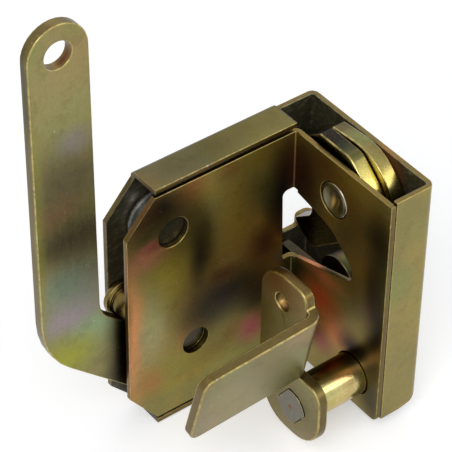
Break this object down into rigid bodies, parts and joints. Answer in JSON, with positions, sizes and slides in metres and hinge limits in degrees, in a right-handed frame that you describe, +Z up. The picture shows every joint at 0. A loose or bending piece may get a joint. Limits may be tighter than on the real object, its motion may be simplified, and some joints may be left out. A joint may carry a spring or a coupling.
{
  "type": "cab door rotary latch",
  "caption": "Yellow zinc plated rotary door latch: folded box with a striker mouth and forked claw, long outer arm with a rod hole, and a short inner lever with a bent finger paddle.",
  "frame": {"origin": "A point on the flat fixing face of the casing, which is the outer face of its back plate, about the middle of the wide panel", "axes": "+Y points out of the fixing face, away from the cover plate. +Z points up along the outer arm, the longest extent. +X points along the wide panel towards the box that holds the claw"},
  "size_m": [0.1265, 0.066, 0.1907],
  "materials": {
    "yellow_zinc": "yellow zinc plated, iridescent satin",
    "shaft_zinc": "yellow zinc plated, turned and glossy",
    "rotor_zinc": "yellow zinc plated, dark and rough cut",
    "bright_steel": "bright turned steel",
    "grey_steel": "grey steel",
    "spring_steel": "dark spring wire"
  },
  "bodies": {
    "housing": {"casing": "yellow_zinc", "cover_plate": "yellow_zinc", "upper_spacer_boss": "bright_steel", "arm_stop_stud": "yellow_zinc", "arm_pivot_stud": "grey_steel", "arm_front_washer": "yellow_zinc", "rotor_pivot_rivet": "grey_steel", "rotor_spacer_sleeve": "grey_steel", "rotor_thrust_washer": "grey_steel", "rotor_spring": "spring_steel", "shaft_spring": "spring_steel", "arm_return_spring": "spring_steel"},
    "claw": {"rotor_hook_plate": "rotor_zinc", "rotor_ratchet_plate": "rotor_zinc", "rotor_rivet_upper": "grey_steel", "rotor_rivet_lower": "grey_steel"},
    "release": {"release_shaft": "shaft_zinc", "release_lever": "yellow_zinc", "release_cam": "rotor_zinc", "pawl": "rotor_zinc", "shaft_end_washer": "grey_steel"},
    "arm": {"outer_arm": "yellow_zinc"}
  },
  "joints": [
    {"name": "claw_turn", "type": "hinge", "parent": "housing", "child": "claw", "pos_m": [0.0392, -0.0357, 0.0354], "axis": [1, 0, 0], "range_deg": [-60, 0], "stiffness_Nm_per_rad": 0.08, "springref_deg": 22.92},
    {"name": "arm_swing", "type": "hinge", "parent": "housing", "child": "arm", "pos_m": [-0.007, -0.0097, -0.0234], "axis": [0, -1, 0], "range_deg": [0, 7.5], "stiffness_Nm_per_rad": 0.6, "springref_deg": -22.92},
    {"name": "release_turn", "type": "hinge", "parent": "housing", "child": "release", "pos_m": [0.036, -0.0508, -0.0362], "axis": [1, 0, 0], "range_deg": [0, 9], "stiffness_Nm_per_rad": 0.3, "springref_deg": -22.92}
  ],
  "couplings": [
    {"joint": "release_turn", "follows": "arm_swing", "ratio": 1.2}
  ]
}
